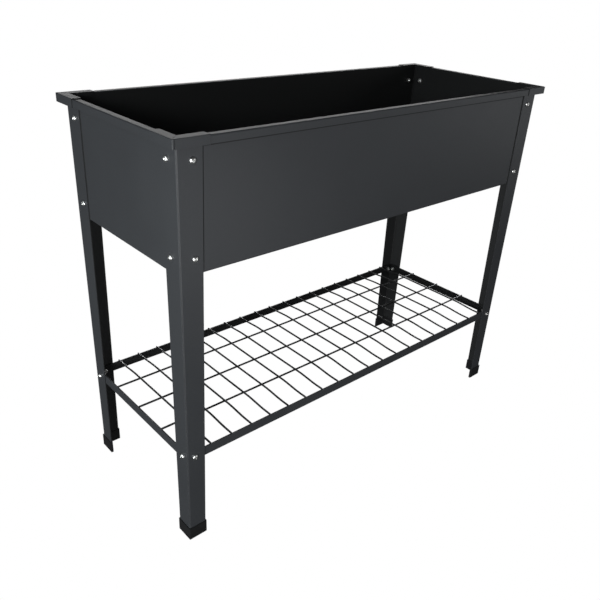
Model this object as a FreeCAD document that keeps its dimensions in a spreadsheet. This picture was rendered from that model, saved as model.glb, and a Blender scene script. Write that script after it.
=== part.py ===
import FreeCAD, Part
import os
import Sketcher

# Raised planter: a folded sheet-steel trough on four tapered angle legs, with a wire shelf.
# Millimetres. +Z is up, +X runs along the trough, -Y is the front. The origin is on the floor,
# under the middle of the trough.

document = FreeCAD.newDocument("raised_planter")

# Driving dimensions: name, value, meaning.
DRIVING = [
    ("overall_height", 800, "floor to the top of the corner caps"),
    ("rim_length", 998, "outside of the folded rim, along X"),
    ("rim_width", 390, "outside of the folded rim, along Y"),
    ("rim_depth", 15, "wall inside face to skirt outside face"),
    ("skirt_drop", 13.6, "rim top to the lower edge of the skirt"),
    ("sheet_gauge", 1.2, "trough sheet thickness"),
    ("bend_radius", 1.2, "inside radius of the trough folds"),
    ("trough_bottom", 572, "underside of the trough above the floor"),
    ("base_flange", 18, "inward fold that carries the base sheet"),
    ("mitre_gap", 0.2, "setback of each panel's mitred end"),
    ("base_play", 1.5, "base sheet edge to the walls"),
    ("rib_height", 5, "rise of the stiffening ribs in the base"),
    ("rib_crest", 14, "width of a rib at its top"),
    ("rib_pitch", 160, "spacing of the ribs"),
    ("drain_diameter", 8, "drain hole"),
    ("drain_row", 90, "drain hole rows each side of the middle"),
    ("leg_gauge", 2, "leg sheet thickness"),
    ("leg_top_width", 46.5, "flange width at the top of a leg"),
    ("leg_foot_width", 36, "flange width at the foot of a leg"),
    ("leg_bend", 3, "outside radius of the leg fold"),
    ("leg_head_gap", 1.8, "top of a leg to the underside of the rim"),
    ("foot_height", 28, "plastic foot, floor to its top edge"),
    ("foot_floor", 3, "thickness of the foot under the leg"),
    ("foot_wall", 1.6, "foot wall thickness"),
    ("foot_play", 0.2, "foot wall to leg face"),
    ("foot_end_play", 0.7, "foot wall to the edge of the leg flange"),
    ("foot_rounding", 1.2, "rounded edges of the foot"),
    ("cap_gauge", 1.2, "corner cap sheet thickness"),
    ("cap_play", 0.3, "corner cap to the rim it covers"),
    ("cap_arm", 64, "corner cap arm, from the rim corner"),
    ("cap_skirt", 15.5, "height of the cap's outer fold"),
    ("cap_lip", 8, "height of the cap's inner fold"),
    ("cap_tab", 3.5, "part of one skirt that wraps round the corner"),
    ("cap_slit", 1, "open seam between the two skirts"),
    ("cap_rounding", 1, "outside radius of the cap folds"),
    ("cap_mitre_width", 0.5, "joint line across the top of the cap"),
    ("cap_mitre_depth", 0.4, "joint line across the top of the cap"),
    ("upper_bolt_height", 761, "upper trough bolts above the floor"),
    ("lower_bolt_height", 601, "lower trough bolts above the floor"),
    ("bolt_inset", 28, "trough bolt to the outside of the leg corner"),
    ("shelf_bolt_height", 201, "bolts of the shelf rails above the floor"),
    ("shelf_bolt_inset", 17, "shelf bolt to the outside of the leg corner"),
    ("bolt_diameter", 6, "M6 shank"),
    ("bolt_length", 12, "shank under the head"),
    ("bolt_hole", 6.4, "clearance hole"),
    ("head_diameter", 11, "pan head"),
    ("head_height", 3.6, "pan head"),
    ("head_edge", 1.4, "straight side of the pan head"),
    ("recess_width", 1.3, "arm of the cross recess"),
    ("recess_span", 5.6, "tip to tip of the cross recess"),
    ("recess_depth", 1.8, "cross recess"),
    ("nut_flats", 10, "nut width across flats"),
    ("nut_height", 5, "nut"),
    ("rail_height", 19.5, "shelf rail"),
    ("rail_gauge", 2.5, "shelf rail thickness"),
    ("rail_bottom", 192.5, "underside of the shelf rails above the floor"),
    ("rail_end_gap", 0.3, "end of a long rail to the end rail"),
    ("rail_corner_gap", 1.4, "end of an end rail to the leg fold"),
    ("wire_diameter", 3.8, "shelf wire"),
    ("wire_setback", 0.2, "wire end to the outside of its rail"),
    ("cross_wire_pitch", 48.2, "spacing of the wires that run front to back"),
    ("long_wire_pitch", 88.2, "spacing of the wires that run end to end"),
    ("crank_foot", 165, "middle of the shelf to where a cross wire starts to rise"),
    ("crank_head", 102, "middle of the shelf to where a cross wire has risen"),
]
CROSS_WIRES = 19
LONG_WIRES = 3
BASE_RIBS = 5

sheet = document.addObject("Spreadsheet::Sheet", "dims")
for row, (alias, value, meaning) in enumerate(DRIVING, start=1):
    sheet.set(f"A{row}", alias)
    sheet.set(f"B{row}", str(value))
    sheet.set(f"C{row}", meaning)
    sheet.setAlias(f"B{row}", alias)
document.recompute()

# Places worked out from the driving dimensions, as expressions on the sheet.
RIM_TOP = "(dims.overall_height - dims.cap_gauge - dims.cap_play)"
LEG_TOP = f"({RIM_TOP} - dims.sheet_gauge - dims.leg_head_gap)"
WALL_X = "(dims.rim_length / 2 - dims.rim_depth)"
WALL_Y = "(dims.rim_width / 2 - dims.rim_depth)"
LEG_INSIDE_X = f"({WALL_X} + dims.sheet_gauge)"
LEG_INSIDE_Y = f"({WALL_Y} + dims.sheet_gauge)"
LEG_OUTSIDE_X = f"({LEG_INSIDE_X} + dims.leg_gauge)"
LEG_OUTSIDE_Y = f"({LEG_INSIDE_Y} + dims.leg_gauge)"
RAIL_TOP = "(dims.rail_bottom + dims.rail_height)"

# The four corners: name, side along X, side along Y, turn of a part drawn for the front left corner.
CORNERS = [
    ("front_left", -1, -1, 0),
    ("front_right", 1, -1, 90),
    ("back_right", 1, 1, 180),
    ("back_left", -1, 1, 270),
]


def size(expression):
    """Value in millimetres of an expression on the sheet."""
    return float(sheet.evalExpression(str(expression)))


def times(sign, expression):
    """The expression, mirrored when the sign is negative."""
    return f"{sign} * ({expression})"


def new_body(label):
    body = document.addObject("PartDesign::Body", label)
    body.Label = label
    return body


def new_sketch(body, plane, name, lift=None):
    """Sketch on one of the body's own origin planes, raised along its normal by lift."""
    sketch = body.newObject("Sketcher::SketchObject", f"{body.Name}_{name}")
    origin_plane = [item for item in body.Origin.OriginFeatures if item.Role == plane][0]
    sketch.AttachmentSupport = [(origin_plane, "")]
    sketch.MapMode = "FlatFace"
    if lift:
        sketch.setExpression("AttachmentOffset.Base.z", lift)
    return sketch


def pin_point(sketch, geometry, point, corner):
    """Hold a point of the sketch at a pair of sheet expressions."""
    for kind, expression in zip(("DistanceX", "DistanceY"), corner):
        index = sketch.addConstraint(Sketcher.Constraint(kind, -1, 1, geometry, point, size(expression)))
        sketch.setExpression(f"Constraints[{index}]", str(expression))


def draw_outline(sketch, corners):
    """Closed outline of straight lines whose corners are pairs of sheet expressions."""
    points = [FreeCAD.Vector(size(across), size(up), 0) for across, up in corners]
    first = sketch.GeometryCount
    for start, end in zip(points, points[1:] + points[:1]):
        sketch.addGeometry(Part.LineSegment(start, end), False)
    count = len(points)
    for index in range(count):
        following = first + (index + 1) % count
        sketch.addConstraint(Sketcher.Constraint("Coincident", first + index, 2, following, 1))
        pin_point(sketch, first + index, 1, corners[index])


def draw_circle(sketch, centre, diameter):
    middle = FreeCAD.Vector(size(centre[0]), size(centre[1]), 0)
    circle = Part.Circle(middle, FreeCAD.Vector(0, 0, 1), size(diameter) / 2)
    geometry = sketch.addGeometry(circle, False)
    index = sketch.addConstraint(Sketcher.Constraint("Diameter", geometry, size(diameter)))
    sketch.setExpression(f"Constraints[{index}]", str(diameter))
    pin_point(sketch, geometry, 3, centre)


def pad(body, sketch, length, symmetric=False):
    feature = body.newObject("PartDesign::Pad", f"{sketch.Name}_pad")
    feature.Profile = sketch
    feature.SideType = "Symmetric" if symmetric else "One side"
    feature.setExpression("Length", length)
    document.recompute()
    return feature


def cut(body, sketch, depth=None, upward=False):
    """Pocket of the given depth, or right through both ways, that must remove something."""
    before = body.Shape.Volume
    feature = body.newObject("PartDesign::Pocket", f"{sketch.Name}_cut")
    feature.Profile = sketch
    feature.Reversed = upward
    if depth:
        feature.setExpression("Length", depth)
    else:
        feature.SideType = "Symmetric"
        feature.Type = "ThroughAll"
    document.recompute()
    if body.Shape.Volume > before - 0.01:
        raise RuntimeError(f"{feature.Name} cut nothing")
    return feature


def round_edges(body, name, radius, wanted):
    """Fillet the edges of the body whose middle and direction satisfy wanted."""
    base = body.Tip
    names = []
    for index, edge in enumerate(base.Shape.Edges, start=1):
        middle = edge.valueAt((edge.FirstParameter + edge.LastParameter) / 2)
        if edge.Curve.TypeId == "Part::GeomLine" and wanted(middle, edge.Curve.Direction):
            names.append(f"Edge{index}")
    if not names:
        raise RuntimeError(f"no edge for {name} on {body.Name}")
    feature = body.newObject("PartDesign::Fillet", f"{body.Name}_{name}")
    feature.Base = (base, names)
    feature.setExpression("Radius", radius)
    document.recompute()
    return feature


def near(first, second):
    return abs(first - second) < 0.01


def place(body, turn, side_x, distance_x, side_y, distance_y):
    """Turn the body about Z and stand it at a signed distance from the middle of the planter."""
    body.Placement = FreeCAD.Placement(FreeCAD.Vector(), FreeCAD.Rotation(FreeCAD.Vector(0, 0, 1), turn))
    body.setExpression("Placement.Base.x", times(side_x, distance_x))
    body.setExpression("Placement.Base.y", times(side_y, distance_y))


# ---------------------------------------------------------------- trough panels

def make_panel(label, half_run, reach, turn):
    """Wall with its rim, skirt and base flange folded from one sheet, drawn as the front panel."""
    body = new_body(label)
    wall = f"({reach} - dims.rim_depth)"
    skirt_bottom = f"{RIM_TOP} - dims.skirt_drop"
    under_rim = f"{RIM_TOP} - dims.sheet_gauge"
    flange_top = "dims.trough_bottom + dims.sheet_gauge"
    wall_outside = f"{wall} + dims.sheet_gauge"
    flange_edge = f"{wall} - dims.base_flange"
    skirt_inside = f"{reach} - dims.sheet_gauge"
    profile = new_sketch(body, "YZ_Plane", "profile")
    draw_outline(profile, [
        (times(-1, reach), skirt_bottom),
        (times(-1, reach), RIM_TOP),
        (times(-1, wall), RIM_TOP),
        (times(-1, wall), flange_top),
        (times(-1, flange_edge), flange_top),
        (times(-1, flange_edge), "dims.trough_bottom"),
        (times(-1, wall_outside), "dims.trough_bottom"),
        (times(-1, wall_outside), under_rim),
        (times(-1, skirt_inside), under_rim),
        (times(-1, skirt_inside), skirt_bottom),
    ])
    pad(body, profile, f"2 * {half_run}", symmetric=True)

    outside = [(reach, RIM_TOP), (wall, RIM_TOP), (wall_outside, "dims.trough_bottom")]
    inside = [(skirt_inside, under_rim), (wall_outside, under_rim), (wall, flange_top)]
    for name, radius, folds in (
        ("outer_bends", "dims.bend_radius + dims.sheet_gauge", outside),
        ("inner_bends", "dims.bend_radius", inside),
    ):
        places = [(-size(across), size(up)) for across, up in folds]
        round_edges(body, name, radius, lambda middle, direction: abs(direction.x) > 0.9 and any(
            near(middle.y, across) and near(middle.z, up) for across, up in places))

    # The ends are mitred at 45 degrees so that four panels close the trough and its rim.
    depth = "(dims.rim_depth + dims.base_flange + 5)"
    corner = f"({half_run} - dims.mitre_gap)"
    mitre = new_sketch(body, "XY_Plane", "mitre")
    for side in (-1, 1):
        draw_outline(mitre, [
            (times(side, corner), times(-1, reach)),
            (times(side, f"{corner} - {depth}"), times(-1, f"{reach} - {depth}")),
            (times(side, f"{half_run} + 1"), times(-1, f"{reach} - {depth}")),
            (times(side, f"{half_run} + 1"), times(-1, reach)),
        ])
    cut(body, mitre)

    holes = new_sketch(body, "XZ_Plane", "bolt_holes")
    inset = f"{half_run} - dims.rim_depth + dims.sheet_gauge + dims.leg_gauge - dims.bolt_inset"
    for side in (-1, 1):
        for height in ("dims.upper_bolt_height", "dims.lower_bolt_height"):
            draw_circle(holes, (times(side, inset), height), "dims.bolt_hole")
    cut(body, holes)
    place(body, turn, 0, "0", 0, "0")
    return body


HALF_LENGTH = "(dims.rim_length / 2)"
HALF_WIDTH = "(dims.rim_width / 2)"
nodes = [
    make_panel("front_panel", HALF_LENGTH, HALF_WIDTH, 0),
    make_panel("right_end_panel", HALF_WIDTH, HALF_LENGTH, 90),
    make_panel("back_panel", HALF_LENGTH, HALF_WIDTH, 180),
    make_panel("left_end_panel", HALF_WIDTH, HALF_LENGTH, 270),
]


# ---------------------------------------------------------------- base sheet

def make_base_panel():
    """Loose sheet on the panels' base flanges, ribbed front to back and drilled to drain."""
    body = new_body("base_panel")
    half_length = f"({WALL_X} - dims.base_play)"
    half_width = f"({WALL_Y} - dims.base_play)"
    underside = "(dims.trough_bottom + dims.sheet_gauge)"
    upper, lower = [], []
    for index in range(BASE_RIBS):
        middle = f"{index - (BASE_RIBS - 1) / 2} * dims.rib_pitch"
        for side, run in ((-1, "dims.rib_height"), (-1, "0"), (1, "0"), (1, "dims.rib_height")):
            rise = f"dims.rib_height - {run}"
            across = f"{middle} + {side} * (dims.rib_crest / 2 + {run})"
            upper.append((across, f"{underside} + dims.sheet_gauge + {rise}"))
            lower.append((f"{across} - {side} * dims.sheet_gauge / 2", f"{underside} + {rise}"))
    ends = [(times(-1, half_length), f"{underside} + dims.sheet_gauge")]
    ends += upper + [(half_length, f"{underside} + dims.sheet_gauge"), (half_length, underside)]
    ends += lower[::-1] + [(times(-1, half_length), underside)]
    profile = new_sketch(body, "XZ_Plane", "profile")
    draw_outline(profile, ends)
    pad(body, profile, f"2 * {half_width}", symmetric=True)
    drains = new_sketch(body, "XY_Plane", "drains")
    for index in range(BASE_RIBS + 1):
        for side in (-1, 1):
            across = f"{index - BASE_RIBS / 2} * dims.rib_pitch"
            draw_circle(drains, (across, times(side, "dims.drain_row")), "dims.drain_diameter")
    cut(body, drains)
    return body


nodes.append(make_base_panel())


# ---------------------------------------------------------------- corner caps

def make_corner_cap(label, side_x, side_y, turn):
    """Folded cap over a corner of the rim, drawn from the rim corner with arms along +X and +Y."""
    body = new_body(label)
    outside = "-(dims.cap_play + dims.cap_gauge)"
    inner_lip = "(dims.rim_depth + dims.cap_play)"
    lip_face = f"({inner_lip} + dims.cap_gauge)"
    bottom = "(dims.overall_height - dims.cap_skirt)"

    def angle_outline(sketch, start, end, width):
        draw_outline(sketch, [(start, start), (end, start), (end, width),
                              (width, width), (width, end), (start, end)])

    blank = new_sketch(body, "XY_Plane", "blank", lift=bottom)
    angle_outline(blank, outside, "dims.cap_arm", lip_face)
    pad(body, blank, "dims.cap_skirt")
    top = size("dims.overall_height")
    edge = size(outside)
    round_edges(body, "folds", "dims.cap_rounding", lambda middle, direction: near(middle.z, top) and (
        near(middle.x, edge) or near(middle.y, edge)) or (
        abs(direction.z) > 0.9 and near(middle.x, edge) and near(middle.y, edge)))

    channel = new_sketch(body, "XY_Plane", "channel", lift=bottom)
    angle_outline(channel, "-dims.cap_play", "dims.cap_arm + 1", inner_lip)
    cut(body, channel, depth="dims.cap_skirt - dims.cap_gauge", upward=True)

    below_lip = new_sketch(body, "XY_Plane", "below_lip", lift=bottom)
    angle_outline(below_lip, f"{inner_lip} - 1", "dims.cap_arm + 1", f"{lip_face} + 1")
    cut(body, below_lip, depth="dims.cap_skirt - dims.cap_lip", upward=True)

    seam = new_sketch(body, "XY_Plane", "seam", lift=bottom)
    seam_start = f"{outside} + dims.cap_tab"
    seam_end = f"{seam_start} + dims.cap_slit"
    draw_outline(seam, [(seam_start, f"{outside} - 1"), (seam_end, f"{outside} - 1"),
                        (seam_end, "0"), (seam_start, "0")])
    cut(body, seam, depth="dims.cap_skirt - dims.cap_gauge", upward=True)

    mitre = new_sketch(body, "XY_Plane", "mitre", lift="dims.overall_height - dims.cap_mitre_depth")
    start, end, aside = f"({outside} - 1)", f"({lip_face} + 1)", "dims.cap_mitre_width / sqrt(8)"
    draw_outline(mitre, [(f"{start} - {aside}", f"{start} + {aside}"),
                         (f"{start} + {aside}", f"{start} - {aside}"),
                         (f"{end} + {aside}", f"{end} - {aside}"),
                         (f"{end} - {aside}", f"{end} + {aside}")])
    cut(body, mitre, depth="dims.cap_mitre_depth + 1", upward=True)
    place(body, turn, side_x, HALF_LENGTH, side_y, HALF_WIDTH)
    return body


for corner, side_x, side_y, turn in CORNERS:
    nodes.append(make_corner_cap(f"{corner}_corner_cap", side_x, side_y, turn))


# ---------------------------------------------------------------- legs

def make_leg(label, side_x, side_y):
    """Folded angle leg that tapers to its foot, drawn from its outside corner."""
    body = new_body(label)
    inward_x, inward_y = -side_x, -side_y
    wide, narrow, gauge = "dims.leg_top_width", "dims.leg_foot_width", "dims.leg_gauge"
    section = new_sketch(body, "XY_Plane", "section", lift="dims.foot_floor")
    draw_outline(section, [
        ("0", "0"),
        (times(inward_x, wide), "0"),
        (times(inward_x, wide), times(inward_y, gauge)),
        (times(inward_x, gauge), times(inward_y, gauge)),
        (times(inward_x, gauge), times(inward_y, wide)),
        ("0", times(inward_y, wide)),
    ])
    pad(body, section, f"{LEG_TOP} - dims.foot_floor")
    fold = size(gauge)
    round_edges(body, "outer_bend", "dims.leg_bend", lambda middle, direction: abs(
        direction.z) > 0.9 and near(middle.x, 0) and near(middle.y, 0))
    round_edges(body, "inner_bend", "dims.leg_bend - dims.leg_gauge", lambda middle, direction: abs(
        direction.z) > 0.9 and near(abs(middle.x), fold) and near(abs(middle.y), fold))

    # Each flange is wide at the trough and narrow at the foot, and has its own bolt holes.
    for plane, name, inward in (("XZ_Plane", "long_flange", inward_x), ("YZ_Plane", "end_flange", inward_y)):
        taper = new_sketch(body, plane, f"{name}_taper")
        draw_outline(taper, [
            (times(inward, narrow), "dims.foot_floor"),
            (times(inward, wide), LEG_TOP),
            (times(inward, wide), "dims.foot_floor"),
        ])
        cut(body, taper)
        holes = new_sketch(body, plane, f"{name}_holes")
        for height in ("dims.upper_bolt_height", "dims.lower_bolt_height"):
            draw_circle(holes, (times(inward, "dims.bolt_inset"), height), "dims.bolt_hole")
        draw_circle(holes, (times(inward, "dims.shelf_bolt_inset"), "dims.shelf_bolt_height"),
                    "dims.bolt_hole")
        cut(body, holes)
    place(body, 0, side_x, LEG_OUTSIDE_X, side_y, LEG_OUTSIDE_Y)
    return body


for corner, side_x, side_y, turn in CORNERS:
    nodes.append(make_leg(f"{corner}_leg", side_x, side_y))


# ---------------------------------------------------------------- feet

def make_foot(label, side_x, side_y, turn):
    """Plastic socket on the end of a leg, drawn from the leg's outside corner."""
    body = new_body(label)

    def angle_outline(sketch, margin, end):
        start = f"-({margin})"
        width = f"dims.leg_gauge + {margin}"
        draw_outline(sketch, [(start, start), (end, start), (end, width),
                              (width, width), (width, end), (start, end)])

    reach = "dims.leg_foot_width + dims.foot_end_play"
    block = new_sketch(body, "XY_Plane", "block")
    angle_outline(block, "dims.foot_play + dims.foot_wall", f"{reach} + dims.foot_wall")
    pad(body, block, "dims.foot_height")
    skin = -size("dims.foot_play + dims.foot_wall")
    tip = size(f"{reach} + dims.foot_wall")
    round_edges(body, "corners", "dims.foot_rounding", lambda middle, direction: abs(
        direction.z) > 0.9 and (near(middle.x, skin) or near(middle.y, skin) or near(
        middle.x, tip) or near(middle.y, tip)))
    socket = new_sketch(body, "XY_Plane", "socket", lift="dims.foot_floor")
    angle_outline(socket, "dims.foot_play", reach)
    cut(body, socket, depth="dims.foot_height", upward=True)
    crook = size("dims.leg_gauge + dims.foot_play")
    round_edges(body, "crook", "dims.leg_bend - dims.leg_gauge", lambda middle, direction: abs(
        direction.z) > 0.9 and near(middle.x, crook) and near(middle.y, crook))
    place(body, turn, side_x, LEG_OUTSIDE_X, side_y, LEG_OUTSIDE_Y)
    return body


for corner, side_x, side_y, turn in CORNERS:
    nodes.append(make_foot(f"{corner}_foot", side_x, side_y, turn))


# ---------------------------------------------------------------- shelf rails

def make_rail(label, half_run, reach, bolt_from_middle, turn):
    """Flat bar on edge behind the leg flanges, drawn as the front rail."""
    body = new_body(label)
    section = new_sketch(body, "YZ_Plane", "section")
    inside = f"{reach} - dims.rail_gauge"
    draw_outline(section, [(times(-1, reach), "dims.rail_bottom"), (times(-1, reach), RAIL_TOP),
                           (times(-1, inside), RAIL_TOP), (times(-1, inside), "dims.rail_bottom")])
    pad(body, section, f"2 * ({half_run})", symmetric=True)
    holes = new_sketch(body, "XZ_Plane", "bolt_holes")
    for side in (-1, 1):
        draw_circle(holes, (times(side, bolt_from_middle), "dims.shelf_bolt_height"), "dims.bolt_hole")
    cut(body, holes)
    place(body, turn, 0, "0", 0, "0")
    return body


LONG_RAIL = dict(
    half_run=f"{LEG_INSIDE_X} - dims.rail_gauge - dims.rail_end_gap",
    reach=LEG_INSIDE_Y,
    bolt_from_middle=f"{LEG_OUTSIDE_X} - dims.shelf_bolt_inset",
)
END_RAIL = dict(
    half_run=f"{LEG_INSIDE_Y} - dims.rail_corner_gap",
    reach=LEG_INSIDE_X,
    bolt_from_middle=f"{LEG_OUTSIDE_Y} - dims.shelf_bolt_inset",
)
nodes += [
    make_rail("front_shelf_rail", turn=0, **LONG_RAIL),
    make_rail("right_shelf_rail", turn=90, **END_RAIL),
    make_rail("back_shelf_rail", turn=180, **LONG_RAIL),
    make_rail("left_shelf_rail", turn=270, **END_RAIL),
]


# ---------------------------------------------------------------- shelf wires

def make_wire(label, plane, half_run, path):
    """Round wire swept along a path of (distance, height) points, drawn through the middle."""
    body = new_body(label)
    spine = new_sketch(body, plane, "spine")
    points = [FreeCAD.Vector(size(along), size(up), 0) for along, up in path]
    for index, (start, end) in enumerate(zip(points, points[1:])):
        spine.addGeometry(Part.LineSegment(start, end), False)
        pin_point(spine, index, 1, path[index])
        if index:
            spine.addConstraint(Sketcher.Constraint("Coincident", index - 1, 2, index, 1))
    pin_point(spine, len(path) - 2, 2, path[-1])
    across, forward = ("XZ_Plane", 1) if plane == "YZ_Plane" else ("YZ_Plane", -1)
    section = new_sketch(body, across, "section", lift=times(forward, half_run))
    draw_circle(section, ("0", path[0][1]), "dims.wire_diameter")
    swept = body.newObject("PartDesign::AdditivePipe", f"{label}_swept")
    swept.Profile = section
    swept.Spine = spine
    swept.Transition = "Right corner"
    document.recompute()
    return body


def make_wire_group(label, wire, count, pitch, direction):
    """Copies of one wire side by side, as separate solids in one node."""
    copies = []
    for index in range(count):
        copy = wire.Shape.copy()
        copy.translate(direction * (index - (count - 1) / 2) * size(pitch))
        copies.append(copy)
    group = document.addObject("Part::Feature", label)
    group.Shape = Part.makeCompound(copies)
    group.Label = label
    return group


# The long wires lie on the end rails. The cross wires lie on the long wires, and their ends step
# down on to the long rails.
LOW_WIRE = f"({RAIL_TOP} + dims.wire_diameter / 2)"
HIGH_WIRE = f"({RAIL_TOP} + 1.5 * dims.wire_diameter)"
CROSS_HALF = f"({LEG_INSIDE_Y} - dims.wire_setback)"
LONG_HALF = f"({LEG_INSIDE_X} - dims.wire_setback)"
cross_wire = make_wire("cross_wire_pattern_part", "YZ_Plane", CROSS_HALF, [
    (times(-1, CROSS_HALF), LOW_WIRE), ("-dims.crank_foot", LOW_WIRE), ("-dims.crank_head", HIGH_WIRE),
    ("dims.crank_head", HIGH_WIRE), ("dims.crank_foot", LOW_WIRE), (CROSS_HALF, LOW_WIRE)])
long_wire = make_wire("long_wire_pattern_part", "XZ_Plane", LONG_HALF, [
    (times(-1, LONG_HALF), LOW_WIRE), (LONG_HALF, LOW_WIRE)])
nodes += [
    make_wire_group("shelf_cross_wires", cross_wire, CROSS_WIRES, "dims.cross_wire_pitch",
                    FreeCAD.Vector(1, 0, 0)),
    make_wire_group("shelf_long_wires", long_wire, LONG_WIRES, "dims.long_wire_pitch",
                    FreeCAD.Vector(0, 1, 0)),
]


# ---------------------------------------------------------------- bolts and nuts

def make_bolt():
    """Pan-head machine screw: the head stands on z = 0 and the shank points down."""
    body = new_body("bolt_pattern_part")
    half_head = "dims.head_diameter / 2"
    half_shank = "dims.bolt_diameter / 2"
    crown = "dims.head_diameter / 4"
    profile = new_sketch(body, "XZ_Plane", "profile")
    draw_outline(profile, [
        ("0", "-dims.bolt_length"),
        (f"{half_shank} - 0.6", "-dims.bolt_length"),
        (half_shank, "-dims.bolt_length + 0.6"),
        (half_shank, "0"),
        (half_head, "0"),
        (half_head, "dims.head_edge"),
        (crown, "dims.head_height"),
        ("0", "dims.head_height"),
    ])
    turned = body.newObject("PartDesign::Revolution", "bolt_turned")
    turned.Profile = profile
    turned.ReferenceAxis = (profile, ["V_Axis"])
    turned.Angle = 360
    document.recompute()
    recess = new_sketch(body, "XY_Plane", "recess", lift="dims.head_height")
    arm, tip = "dims.recess_width / 2", "dims.recess_span / 2"
    draw_outline(recess, [
        (arm, tip), (arm, arm), (tip, arm), (tip, f"-{arm}"), (arm, f"-{arm}"), (arm, f"-{tip}"),
        (f"-{arm}", f"-{tip}"), (f"-{arm}", f"-{arm}"), (f"-{tip}", f"-{arm}"), (f"-{tip}", arm),
        (f"-{arm}", arm), (f"-{arm}", tip),
    ])
    cut(body, recess, depth="dims.recess_depth")
    return body


def make_nut():
    """Hexagon nut that stands on z = 0."""
    prism = document.addObject("Part::Prism", "nut_blank")
    prism.Polygon = 6
    prism.setExpression("Circumradius", "dims.nut_flats / sqrt(3)")
    prism.setExpression("Height", "dims.nut_height")
    thread = document.addObject("Part::Cylinder", "nut_thread")
    thread.setExpression("Radius", "dims.bolt_diameter / 2")
    thread.setExpression("Height", "dims.nut_height")
    nut = document.addObject("Part::Cut", "nut_pattern_part")
    nut.Base = prism
    nut.Tool = thread
    document.recompute()
    return nut


def fastener_places(inset, heights):
    """Where each fastener meets the outside of a leg flange: point and outward direction."""
    places = []
    for _, side_x, side_y, _ in CORNERS:
        for height in heights:
            corner = FreeCAD.Vector(side_x * size(LEG_OUTSIDE_X), side_y * size(LEG_OUTSIDE_Y), size(height))
            along_x = FreeCAD.Vector(-side_x * size(inset), 0, 0)
            along_y = FreeCAD.Vector(0, -side_y * size(inset), 0)
            places.append((corner + along_x, FreeCAD.Vector(0, side_y, 0)))
            places.append((corner + along_y, FreeCAD.Vector(side_x, 0, 0)))
    return places


def make_group(label, part, places, depth):
    """Copies of one fastener, set in from the flange by depth, as separate solids in one node."""
    copies = []
    for point, outward in places:
        copy = part.Shape.copy()
        turn = FreeCAD.Rotation(FreeCAD.Vector(0, 0, 1), outward)
        copy.Placement = FreeCAD.Placement(point - outward * depth, turn)
        copies.append(copy)
    group = document.addObject("Part::Feature", label)
    group.Shape = Part.makeCompound(copies)
    group.Label = label
    return group


bolt = make_bolt()
nut = make_nut()
trough_places = fastener_places("dims.bolt_inset", ("dims.upper_bolt_height", "dims.lower_bolt_height"))
shelf_places = fastener_places("dims.shelf_bolt_inset", ("dims.shelf_bolt_height",))
trough_grip = size("dims.leg_gauge + dims.sheet_gauge + dims.nut_height")
shelf_grip = size("dims.leg_gauge + dims.rail_gauge + dims.nut_height")
nodes += [
    make_group("trough_bolts", bolt, trough_places, 0),
    make_group("trough_nuts", nut, trough_places, trough_grip),
    make_group("shelf_bolts", bolt, shelf_places, 0),
    make_group("shelf_nuts", nut, shelf_places, shelf_grip),
]


# ---------------------------------------------------------------- checks and files

document.recompute()
for item in document.Objects:
    if any(state in ("Invalid", "Error") for state in item.State):
        raise RuntimeError(f"{item.Name} failed: {item.State}")
for node in nodes:
    if node.Shape.isNull() or not node.Shape.isValid():
        raise RuntimeError(f"{node.Label} has no valid shape")

os.makedirs("parts", exist_ok=True)
for node in nodes:
    node.Shape.exportStep(f"parts/{node.Label}.step")
    box = node.Shape.BoundBox
    print(f"{node.Label:26s} solids {len(node.Shape.Solids):2d}  volume {node.Shape.Volume / 1000:9.2f} cm3"
          f"  x {box.XMin:8.2f} {box.XMax:8.2f}  y {box.YMin:8.2f} {box.YMax:8.2f}"
          f"  z {box.ZMin:7.2f} {box.ZMax:7.2f}")
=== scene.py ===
import bmesh
import bpy
import math
from mathutils import Matrix, Vector


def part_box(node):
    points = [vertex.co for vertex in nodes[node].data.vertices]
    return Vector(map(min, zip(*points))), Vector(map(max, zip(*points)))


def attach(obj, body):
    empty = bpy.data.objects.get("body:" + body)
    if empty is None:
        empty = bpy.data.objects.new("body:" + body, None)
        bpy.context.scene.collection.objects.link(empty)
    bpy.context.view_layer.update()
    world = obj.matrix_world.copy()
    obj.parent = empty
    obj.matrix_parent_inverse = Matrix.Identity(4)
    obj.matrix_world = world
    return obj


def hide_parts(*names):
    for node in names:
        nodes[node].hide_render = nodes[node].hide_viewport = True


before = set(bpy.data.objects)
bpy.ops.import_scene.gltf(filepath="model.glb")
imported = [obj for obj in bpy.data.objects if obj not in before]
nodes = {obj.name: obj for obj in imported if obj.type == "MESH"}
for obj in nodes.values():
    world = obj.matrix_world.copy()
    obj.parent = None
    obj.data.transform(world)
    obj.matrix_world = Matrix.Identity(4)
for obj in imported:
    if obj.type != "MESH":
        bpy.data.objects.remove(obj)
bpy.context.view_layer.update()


# ------------------------------------------------------------ trough panels
# Four sheet-steel walls, each folded in one piece with its rim, skirt and base flange and
# mitred at the corners. They are powder coated in a fine-grained satin anthracite. Shade is
# painted into the coat as a near-black, duller colour inside the trough, beside the leg flanges and
# under the skirts.

class Channel:
    """One shader socket. Arithmetic on it adds Math nodes."""

    def __init__(self, finish, socket):
        self.finish = finish
        self.socket = socket

    def combine(self, operation, first, second):
        return self.finish.node("ShaderNodeMath", {"operation": operation}, {0: first, 1: second})

    def __add__(self, other):
        return self.combine("ADD", self, other)

    def __sub__(self, other):
        return self.combine("SUBTRACT", self, other)

    def __rsub__(self, other):
        return self.combine("SUBTRACT", other, self)

    def __mul__(self, other):
        return self.combine("MULTIPLY", self, other)

    def __abs__(self):
        return self.combine("ABSOLUTE", self, 0.0)

    __radd__ = __add__
    __rmul__ = __mul__


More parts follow.
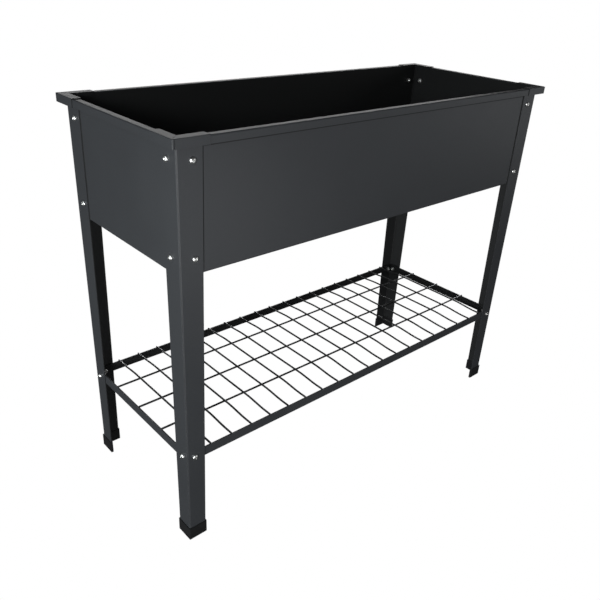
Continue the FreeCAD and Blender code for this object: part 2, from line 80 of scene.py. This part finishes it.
class Finish:
    """A material in the making, whose nodes are written as expressions."""

    def __init__(self, name):
        self.material = bpy.data.materials.new(name)
        self.material.use_nodes = True
        self.tree = self.material.node_tree
        self.shader = self.tree.nodes["Principled BSDF"]

    def node(self, kind, settings, values, output=0):
        made = self.tree.nodes.new(kind)
        for name, value in settings.items():
            setattr(made, name, value)
        for name, value in values.items():
            self.feed(made.inputs[name], value)
        return Channel(self, made.outputs[output])

    def feed(self, socket, value):
        if isinstance(value, Channel):
            self.tree.links.new(value.socket, socket)
        else:
            socket.default_value = value

    def set(self, **values):
        for name, value in values.items():
            self.feed(self.shader.inputs[name.replace("_", " ")], value)

    def place(self):
        return self.node("ShaderNodeTexCoord", {}, {}, "Object")

    def axes(self):
        place = self.place()
        return [self.node("ShaderNodeSeparateXYZ", {}, {"Vector": place}, axis) for axis in "XYZ"]

    def grain(self, size, detail=2.0):
        """Noise from 0 to 1 whose lumps are about size metres across."""
        return self.node("ShaderNodeTexNoise", {"noise_dimensions": "3D"}, {
            "Vector": self.place(), "Scale": 1 / size, "Detail": detail}, "Fac")

    def step(self, channel, start, end):
        """0 before start and 1 after end, with a soft ramp between them."""
        return self.node("ShaderNodeMapRange", {"interpolation_type": "SMOOTHSTEP"}, {
            "Value": channel, "From Min": start, "From Max": end, "To Min": 0.0, "To Max": 1.0})

    def band(self, channel, start, end):
        """1 between start and end and 0 outside, with edges 0.3 mm wide."""
        return self.step(channel, start - 0.0003, start) * self.step(channel, end + 0.0003, end)

    def clamp(self, channel):
        return self.node("ShaderNodeClamp", {}, {"Value": channel, "Min": 0.0, "Max": 1.0})

    def mix(self, mask, first, second):
        """First colour where the mask is 0, second where it is 1."""
        return self.node("ShaderNodeMix", {"data_type": "RGBA"}, {0: mask, 6: first, 7: second}, 2)

    def bump(self, height, distance, strength, under=None):
        values = {"Height": height, "Distance": distance, "Strength": strength}
        if under:
            values["Normal"] = under
        return self.node("ShaderNodeBump", {}, values, "Normal")


def powder_coat(name, shade_mask_of):
    """Satin anthracite powder coat. The second argument gives a mask of the faces where shade is
    painted in as a near-black, duller coat.
    """
    finish = Finish(name)
    cloud = finish.grain(0.11, detail=3.0)
    peel = finish.grain(0.0024, detail=1.5)
    grit = finish.grain(0.0006, detail=1.0)
    anthracite = finish.mix(cloud, (0.0232, 0.0246, 0.0270, 1), (0.0271, 0.0288, 0.0315, 1))
    flecked = finish.mix(finish.step(grit, 0.56, 0.78) * 0.35, anthracite, (0.052, 0.054, 0.057, 1))
    # The mask marks where shade is painted: there the colour turns near black and the roughness
    # rises by 0.22.
    mask = shade_mask_of(finish)
    orange_peel = finish.bump(peel, 0.0001, 0.45)
    finish.set(Base_Color=finish.mix(mask, flecked, (0.0062, 0.0066, 0.0068, 1)),
               Roughness=0.46 + (cloud - 0.5) * 0.10 + (peel - 0.5) * 0.10 + mask * 0.22,
               Normal=finish.bump(grit, 0.00003, 0.5, under=orange_peel))
    finish.shader.inputs["Specular IOR Level"].default_value = 0.42
    return finish.material


def cover(piece, material):
    piece.data.materials.clear()
    piece.data.materials.append(material)
    for face in piece.data.polygons:
        face.material_index = 0


def trough_painted_shade(finish):
    """1 where shade is painted: on the faces that look into the trough, beside the leg flanges and
    under the skirts.
    """
    x, y, z = finish.axes()
    # Painted shade on the inner faces of the walls, from the rim down to the base.
    within_walls = finish.step(abs(x), 0.4848, 0.4844) * finish.step(abs(y), 0.1808, 0.1804)
    below_rim = finish.step(z, 0.7980, 0.7966)
    above_base = finish.step(z, 0.5724, 0.5728)
    # Painted shadow in a band 3 mm wide beside the free edge of each leg flange, below the skirt.
    leg_x, leg_y, flange = 0.4872, 0.1832, 0.0360 + z * 0.01325
    shadow_start, shadow_end = -0.0004, 0.0026
    flange_shadow = (finish.band(leg_x - abs(x) - flange, shadow_start, shadow_end)
                  + finish.band(leg_y - abs(y) - flange, shadow_start, shadow_end))
    below_skirt = finish.step(z, 0.7849, 0.7846)
    # Painted shadow in a band 6 mm tall on the wall under the skirt.
    clear_of_skirt = finish.step(abs(x), 0.4930, 0.4925) * finish.step(abs(y), 0.1890, 0.1885)
    skirt_shadow = finish.band(z, 0.7792, 0.7852) * clear_of_skirt
    return finish.clamp(within_walls * below_rim * above_base
                        + flange_shadow * below_skirt + skirt_shadow)


trough_coat = powder_coat("trough_powder_coat", trough_painted_shade)
for name in ("front_panel", "back_panel", "left_end_panel", "right_end_panel"):
    cover(nodes[name], trough_coat)


# ------------------------------------------------------------ base sheet
# A loose sheet of the same steel with pressed ribs and drain holes, which drops between the
# walls and lies on their base flanges. It shares the trough's coat, and the painted shade of the
# trough's inside falls on it.

cover(nodes["base_panel"], trough_coat)


# ------------------------------------------------------------ legs
# Four angles folded from 2 mm steel that taper to the foot. The coat is full on the two
# outer faces, and shade is painted on the inner faces and the sheared edges as a near-black, duller
# coat.

# Painted shade: 1 on the inner faces of the legs and along their sheared edges.
def leg_painted_shade(finish):
    x, y, z = finish.axes()
    return finish.step(abs(x), 0.4868, 0.4864) * finish.step(abs(y), 0.1828, 0.1824)


leg_coat = powder_coat("leg_powder_coat", leg_painted_shade)
CORNERS = ("front_left", "front_right", "back_right", "back_left")
for corner in CORNERS:
    cover(nodes[f"{corner}_leg"], leg_coat)


# ------------------------------------------------------------ corner caps
# Folded sheet caps that clip over the rim corners, coated like the panels. Shade is painted
# as a near-black, duller coat on the sheared ends of the arms, up inside the skirts and along the
# mitre joint across the top.

def cap_painted_shade(finish):
    # Painted shade on the arm ends, in the mitre joint and under the top.
    x, y, z = finish.axes()
    arm_ends = 1 - finish.step(abs(x), 0.43515, 0.43535) * finish.step(abs(y), 0.13115, 0.13135)
    below_top = finish.step(z, 0.79985, 0.79970) * finish.step(z, 0.7989, 0.7991)
    joint = below_top * finish.step(abs(x), 0.4994, 0.4992) * finish.step(abs(y), 0.1954, 0.1952)
    under_top = finish.step(z, 0.79890, 0.79885)
    inside = (under_top * finish.step(abs(x), 0.49935, 0.49930)
              * finish.step(abs(y), 0.19535, 0.19530))
    return finish.clamp(arm_ends + joint + inside)


cap_coat = powder_coat("cap_powder_coat", cap_painted_shade)
for corner in CORNERS:
    cover(nodes[f"{corner}_corner_cap"], cap_coat)


# ------------------------------------------------------------ shelf rails
# Flat steel bars that carry the shelf, bolted inside the legs at one height. They are powder
# coated like the legs, with shade painted as a near-black, duller coat on the faces that look
# inwards.

# Painted shade: 1 on the faces of the rails that look inwards.
def rail_painted_shade(finish):
    x, y, z = finish.axes()
    return finish.step(abs(x), 0.4850, 0.4846) * finish.step(abs(y), 0.1810, 0.1806)


rail_coat = powder_coat("rail_powder_coat", rail_painted_shade)
for name in ("front_shelf_rail", "back_shelf_rail", "left_shelf_rail", "right_shelf_rail"):
    cover(nodes[name], rail_coat)


# ------------------------------------------------------------ shelf wires
# 3.8 mm steel wires with rounded ends, resistance welded where they cross and where they rest
# on the rails, under 0.2 mm of dipped black enamel. The cross wires step down at both ends.

def new_piece(name, builder):
    """Object from a bmesh, with doubles merged, faces turned outward and the roundings smooth."""
    bmesh.ops.remove_doubles(builder, verts=builder.verts, dist=1e-6)
    bmesh.ops.recalc_face_normals(builder, faces=builder.faces)
    mesh = bpy.data.meshes.new(name)
    builder.to_mesh(mesh)
    builder.free()
    mesh.shade_smooth()
    mesh.set_sharp_from_angle(angle=math.radians(38))
    piece = bpy.data.objects.new(name, mesh)
    bpy.context.scene.collection.objects.link(piece)
    return piece


def install(piece, node, material):
    """Put a piece in the place of a node of the frame."""
    cover(piece, material)
    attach(piece, "root")
    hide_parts(node)


def draw_out(builder, section, stations):
    """Extrude a closed section through stations, matrices that place it, and shut both ends."""
    start = builder.faces.new([builder.verts.new(stations[0] @ point) for point in section])
    edges = list(start.edges)
    for here, ahead in zip(stations, stations[1:]):
        made = bmesh.ops.extrude_edge_only(builder, edges=edges)["geom"]
        edges = [part for part in made if isinstance(part, bmesh.types.BMEdge)]
        verts = [part for part in made if isinstance(part, bmesh.types.BMVert)]
        bmesh.ops.transform(builder, matrix=ahead @ here.inverted(), verts=verts)
    bmesh.ops.edgeloop_fill(builder, edges=edges)


WIRE_RADIUS = 0.0019
ENAMEL = 0.0002
LONG_WIRE_LANES = (-0.0882, 0.0, 0.0882)


def round_wire(builder, profile, lane, turn):
    """Wire through (distance, height) points in one lane, turned about Z, its two ends rounded."""
    sides, radius = 14, WIRE_RADIUS + ENAMEL
    section = [Vector((0, radius * math.cos(math.tau * side / sides),
                       radius * math.sin(math.tau * side / sides))) for side in range(sides)]
    run = [(distance, height, 1.0) for distance, height in profile[1:-1]]
    rounding = ((0.0, 0.45), (0.0003, 0.8), (0.0011, 1.0))
    (start, start_height), (end, end_height) = profile[0], profile[-1]
    run = ([(start + inset, start_height, swell) for inset, swell in rounding] + run
           + [(end - inset, end_height, swell) for inset, swell in reversed(rounding)])
    turned = Matrix.Rotation(turn, 4, "Z")
    draw_out(builder, section, [
        turned @ Matrix.Translation((distance, lane, height)) @ Matrix.Diagonal((1, swell, swell, 1))
        for distance, height, swell in run])


def weld_bead(builder, place, size):
    """Small flattened nugget of weld metal."""
    nugget = bmesh.ops.create_icosphere(builder, subdivisions=2, radius=1.0)["verts"]
    bmesh.ops.scale(builder, vec=size, verts=nugget)
    bmesh.ops.translate(builder, vec=place, verts=nugget)


def cross_wires():
    low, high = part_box("shelf_cross_wires")
    count, crank_foot, crank_head, crank_steps = 19, 0.165, 0.102, 8
    rest = low[2] + WIRE_RADIUS
    rise = high[2] - low[2] - 2 * WIRE_RADIUS
    half = high[1]
    crank = []
    for step in range(crank_steps + 1):
        share = step / crank_steps
        eased = share * share * (3 - 2 * share)
        crank.append((crank_foot + (crank_head - crank_foot) * share, rest + rise * eased))
    outer_half = [(half, rest)] + crank + [(0.03, rest + rise)]
    profile = [(-distance, height) for distance, height in outer_half] + outer_half[::-1]
    pitch = (high[0] - low[0] - 2 * WIRE_RADIUS) / (count - 1)
    crossing_weld = (0.0023, 0.0023, 0.0007)
    rail_weld, rail_weld_inset = (0.0024, 0.0012, 0.0008), 0.0013
    builder = bmesh.new()
    for index in range(count):
        across = (index - (count - 1) / 2) * pitch
        round_wire(builder, profile, -across, math.pi / 2)
        for lane in LONG_WIRE_LANES:
            weld_bead(builder, (across, lane, rest + rise / 2), crossing_weld)
        for end in (-1, 1):
            place = (across, end * (half - rail_weld_inset), low[2] + rail_weld[2])
            weld_bead(builder, place, rail_weld)
    return new_piece("shelf_cross_wires_round", builder)


def long_wires():
    low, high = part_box("shelf_long_wires")
    rest = (low[2] + high[2]) / 2
    half = high[0]
    profile = [(distance, rest) for distance in (-half, -0.30, -0.10, 0.10, 0.30, half)]
    rail_weld, rail_weld_inset = (0.0012, 0.0022, 0.0008), 0.0013
    builder = bmesh.new()
    for lane in LONG_WIRE_LANES:
        round_wire(builder, profile, lane, 0)
        for end in (-1, 1):
            place = (end * (half - rail_weld_inset), lane, low[2] + rail_weld[2])
            weld_bead(builder, place, rail_weld)
    return new_piece("shelf_long_wires_round", builder)


def wire_enamel():
    finish = Finish("black_wire_enamel")
    run = finish.grain(0.012, detail=2.0)
    pebble = finish.grain(0.0011, detail=1.0)
    finish.set(Base_Color=finish.mix(run, (0.0060, 0.0060, 0.0064, 1), (0.0100, 0.0100, 0.0104, 1)),
               Roughness=0.48 + (run - 0.5) * 0.16,
               Normal=finish.bump(pebble, 0.0001, 0.4))
    finish.shader.inputs["Specular IOR Level"].default_value = 0.4
    return finish.material


wire_coat = wire_enamel()
install(cross_wires(), "shelf_cross_wires", wire_coat)
install(long_wires(), "shelf_long_wires", wire_coat)


# ------------------------------------------------------------ screws
# M6 x 12 pan head screws, cold headed with a cross recess and a rolled thread, bright zinc
# plated. Two hold each leg flange to the trough, and a third holds the rail end behind it.

def bright_zinc():
    finish = Finish("bright_zinc_plate")
    bloom = finish.grain(0.0035, detail=3.0)
    scratch = finish.grain(0.0005, detail=2.0)
    finish.set(Base_Color=finish.mix(bloom, (0.66, 0.66, 0.64, 1), (0.86, 0.86, 0.84, 1)),
               Metallic=1.0, Roughness=0.24 + bloom * 0.16,
               Normal=finish.bump(scratch, 0.00004, 0.3))
    return finish.material


def turned_screw():
    """Screw that stands on z = 0 under its head, turned from its half outline."""
    outline = [(0, 3.60), (1.2, 3.58), (2.4, 3.45), (3.5, 3.15), (4.4, 2.62), (5.05, 1.95),
               (5.42, 1.20), (5.50, 0.75), (5.50, 0.22), (5.32, 0.0), (3.0, 0.0)]
    thread_turns = 11
    for turn in range(thread_turns):
        top = -0.35 - turn
        outline += [(3.0, top), (2.55, top - 0.4), (2.55, top - 0.5), (3.0, top - 0.9)]
    outline += [(2.4, -12.0), (0, -12.0)]
    builder = bmesh.new()
    verts = [builder.verts.new((radius / 1000, 0, height / 1000)) for radius, height in outline]
    edges = [builder.edges.new(pair) for pair in zip(verts, verts[1:])]
    bmesh.ops.spin(builder, geom=verts + edges, cent=(0, 0, 0), axis=(0, 0, 1), dvec=(0, 0, 0),
                   angle=math.tau, steps=28, use_merge=True)
    return new_piece("screw_pattern", builder)


def cross_punch():
    """Tapered punch with a cross-shaped section, as the heading tool that forms the recess."""
    arm, tip = 0.00065, 0.0028
    corners = [(arm, tip), (arm, arm), (tip, arm), (tip, -arm), (arm, -arm), (arm, -tip),
               (-arm, -tip), (-arm, -arm), (-tip, -arm), (-tip, arm), (-arm, arm), (-arm, tip)]
    stations = [Matrix.Translation((0, 0, height)) @ Matrix.Diagonal((scale, scale, 1, 1))
                for height, scale in ((0.0018, 0.55), (0.0042, 1.15))]
    builder = bmesh.new()
    draw_out(builder, [Vector((x, y, 0)) for x, y in corners], stations)
    return new_piece("punch_pattern", builder)


def headed_screw():
    """Mesh of one screw with its recess punched in."""
    screw, punch = turned_screw(), cross_punch()
    recess = screw.modifiers.new("recess", "BOOLEAN")
    recess.operation = "DIFFERENCE"
    recess.object = punch
    graph = bpy.context.evaluated_depsgraph_get()
    mesh = bpy.data.meshes.new_from_object(screw.evaluated_get(graph))
    for pattern in (screw, punch):
        bpy.data.objects.remove(pattern)
    return mesh


HEAD_WIDTH, HEAD_HEIGHT = 0.011, 0.0036


def fixing_places(node, inset):
    """Outside face of each leg flange at every screw: place and outward direction."""
    low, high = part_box(node)
    flange_x, flange_y = high[0] - HEAD_HEIGHT, high[1] - HEAD_HEIGHT
    heights = sorted({round(low[2] + HEAD_WIDTH / 2, 6), round(high[2] - HEAD_WIDTH / 2, 6)})
    places = []
    for side_x in (-1, 1):
        for side_y in (-1, 1):
            for height in heights:
                places.append((Vector((side_x * (flange_x - inset), side_y * flange_y, height)),
                               Vector((0, side_y, 0))))
                places.append((Vector((side_x * flange_x, side_y * (flange_y - inset), height)),
                               Vector((side_x, 0, 0))))
    return places


def copies(name, pattern, places, depth, turns):
    """One piece made of a copy of the pattern at each place, set in from it by depth."""
    builder = bmesh.new()
    for index, (place, outward) in enumerate(places):
        known = len(builder.verts)
        builder.from_mesh(pattern)
        builder.verts.ensure_lookup_table()
        spin = Matrix.Rotation(turns[index % len(turns)], 4, "Z")
        stand = outward.to_track_quat("Z", "Y").to_matrix().to_4x4()
        shift = Matrix.Translation(place - outward * depth)
        bmesh.ops.transform(builder, matrix=shift @ stand @ spin, verts=builder.verts[known:])
    return new_piece(name, builder)


TROUGH_SCREW_INSET, SHELF_SCREW_INSET = 0.028, 0.017
SCREW_TURNS = (0.3, 1.1, 0.7, 0.1, 1.35, 0.9, 0.5)
zinc_plate = bright_zinc()
screw_mesh = headed_screw()
trough_places = fixing_places("trough_bolts", TROUGH_SCREW_INSET)
shelf_places = fixing_places("shelf_bolts", SHELF_SCREW_INSET)
install(copies("trough_screws", screw_mesh, trough_places, 0, SCREW_TURNS),
        "trough_bolts", zinc_plate)
install(copies("shelf_screws", screw_mesh, shelf_places, 0, SCREW_TURNS),
        "shelf_bolts", zinc_plate)


# ------------------------------------------------------------ nuts
# Chamfered hexagon nuts, 10 mm across the flats and 5 mm thick, cold formed from steel and
# zinc plated like the screws that they are tightened on.

def hexagon_nut():
    """Mesh of one nut, turned as a ring with chamfered faces and then cut to six flats."""
    flat, thick, bore, washer_face, bore_chamfer = 5.0, 5.0, 3.02, 4.72, 0.45
    corner = flat / math.cos(math.pi / 6)
    fall = (corner - washer_face) * 0.5
    outline = [(bore, 0.5), (bore + bore_chamfer, 0.0), (washer_face, 0.0), (corner, fall),
               (corner, thick - fall), (washer_face, thick), (bore + bore_chamfer, thick),
               (bore, thick - 0.5)]
    builder = bmesh.new()
    verts = [builder.verts.new((radius / 1000, 0, height / 1000)) for radius, height in outline]
    edges = [builder.edges.new(pair) for pair in zip(verts, verts[1:] + verts[:1])]
    bmesh.ops.spin(builder, geom=verts + edges, cent=(0, 0, 0), axis=(0, 0, 1), dvec=(0, 0, 0),
                   angle=math.tau, steps=36, use_merge=True)
    for side in range(6):
        facing = Matrix.Rotation(math.radians(30 + 60 * side), 3, "Z") @ Vector((1, 0, 0))
        whole = builder.verts[:] + builder.edges[:] + builder.faces[:]
        cut = bmesh.ops.bisect_plane(builder, geom=whole, dist=1e-6, plane_co=facing * flat / 1000,
                                     plane_no=facing, clear_outer=True)["geom_cut"]
        bmesh.ops.edgeloop_fill(
            builder, edges=[part for part in cut if isinstance(part, bmesh.types.BMEdge)])
    pattern = new_piece("nut_pattern", builder)
    mesh = pattern.data
    bpy.data.objects.remove(pattern)
    return mesh


TROUGH_NUT_DEPTH, SHELF_NUT_DEPTH = 0.0082, 0.0095
nut_mesh = hexagon_nut()
install(copies("trough_hexagon_nuts", nut_mesh, trough_places, TROUGH_NUT_DEPTH, (0.0, 0.5, 0.2)),
        "trough_nuts", zinc_plate)
install(copies("shelf_hexagon_nuts", nut_mesh, shelf_places, SHELF_NUT_DEPTH, (0.0, 0.35)),
        "shelf_nuts", zinc_plate)


# ------------------------------------------------------------ feet
# Black plastic shoes, moulded with a fine spark-eroded texture and pushed over the leg ends
# to cover the cut steel.

def moulded_plastic():
    finish = Finish("moulded_black_plastic")
    spark = finish.grain(0.0008, detail=2.0)
    rub = finish.grain(0.02, detail=2.0)
    finish.set(Base_Color=finish.mix(rub, (0.0045, 0.0045, 0.0048, 1), (0.0085, 0.0085, 0.009, 1)),
               Roughness=0.42 + (rub - 0.5) * 0.2,
               Normal=finish.bump(spark, 0.0001, 0.35))
    return finish.material


foot_plastic = moulded_plastic()
for corner in CORNERS:
    cover(nodes[f"{corner}_foot"], foot_plastic)


# ------------------------------------------------------------ studio
# A plain white floor and backdrop, soft lights all round, the strongest to the left of the
# front, and a camera that looks down from a little above the rim.

def studio_surround(name, builder):
    """Plain white ground or backdrop that only the camera sees."""
    surround = new_piece(name, builder)
    finish = Finish(f"{name}_white")
    finish.set(Base_Color=(0.0, 0.0, 0.0, 1), Roughness=1.0)
    finish.shader.inputs["Specular IOR Level"].default_value = 0.0
    finish.shader.inputs["Emission Color"].default_value = (1, 1, 1, 1)
    finish.shader.inputs["Emission Strength"].default_value = 1.0
    cover(surround, finish.material)
    surround.visible_diffuse = False
    surround.visible_glossy = False
    return surround


ground = bmesh.new()
bmesh.ops.create_grid(ground, x_segments=4, y_segments=4, size=30.0)
bmesh.ops.translate(ground, vec=(0, 0, -0.0006), verts=ground.verts)
studio_surround("studio_floor", ground)

dome = bmesh.new()
bmesh.ops.create_icosphere(dome, subdivisions=4, radius=28.0)
studio_surround("studio_backdrop", dome).visible_shadow = False


def soft_light(name, place, aim, width, height, power, colour):
    lamp = bpy.data.lights.new(name, "AREA")
    lamp.shape = "RECTANGLE"
    lamp.size, lamp.size_y = width, height
    lamp.energy = power
    lamp.color = colour
    holder = bpy.data.objects.new(name, lamp)
    holder.location = place
    holder.rotation_euler = (Vector(aim) - Vector(place)).to_track_quat("-Z", "Y").to_euler()
    holder.visible_camera = False
    bpy.context.scene.collection.objects.link(holder)


soft_light("key_light", (-2.55, -1.7, 1.35), (-0.3, -0.1, 0.55), 0.7, 0.5, 30, (0.96, 0.985, 1.0))
soft_light("low_key_light", (-2.55, -1.7, 0.5), (-0.3, -0.1, 0.45), 0.7, 0.5, 66, (0.96, 0.985, 1.0))
soft_light("left_high_light", (-2.0, -0.2, 1.6), (-0.3, 0, 0.6), 1.4, 1.0, 11, (0.90, 0.97, 1.0))
soft_light("left_low_light", (-1.9, 0.4, 0.2), (-0.49, 0, 0.3), 0.8, 0.5, 7, (0.90, 0.97, 1.0))
soft_light("front_low_light", (-1.0, -1.9, 0.15), (-0.4, 0, 0.55), 0.9, 0.9, 9, (0.97, 0.985, 1.0))
soft_light("front_near_light", (0.08, -1.16, 0.3), (-0.4, -0.19, 0.6), 0.5, 0.5, 1.7,
           (0.97, 0.985, 1.0))
soft_light("right_soft_light", (2.4, -1.5, 0.8), (0.3, 0, 0.5), 1.0, 1.4, 5.8, (0.95, 0.975, 1.0))
soft_light("back_soft_light", (1.6, 2.2, 1.35), (0, 0, 0.8), 2.6, 0.9, 17, (1, 1, 1))
soft_light("back_low_light", (1.15, 2.7, 0.5), (0, 0.2, 0.55), 1.2, 0.6, 55, (0.97, 0.985, 1.0))
soft_light("right_low_light", (2.9, 0.9, 0.5), (0.48, 0, 0.55), 1.0, 0.6, 40, (0.95, 0.975, 1.0))
soft_light("top_soft_light", (0.3, 0.6, 3.0), (0, 0, 0.7), 2.0, 1.6, 3, (1, 1, 1))

world = bpy.data.worlds.new("studio_air")
world.use_nodes = True
air = world.node_tree.nodes["Background"]
air.inputs["Color"].default_value = (1, 1, 1, 1)
air.inputs["Strength"].default_value = 0.05
bpy.context.scene.world = world
bpy.context.scene.view_settings.view_transform = "Standard"

EYE = Vector((-0.9792, -0.9941, 1.0303))
HEADING, TILT, LEAN = 0.7481, -0.4783, 0.0562
camera_data = bpy.data.cameras.new("camera")
camera_data.lens = 39.16
camera_data.clip_start = 0.02
camera = bpy.data.objects.new("camera", camera_data)
camera.matrix_world = (Matrix.Translation(EYE) @ Matrix.Rotation(-HEADING, 4, "Z")
                       @ Matrix.Rotation(math.pi / 2 + TILT, 4, "X") @ Matrix.Rotation(LEAN, 4, "Z"))
bpy.context.scene.collection.objects.link(camera)
bpy.context.scene.camera = camera
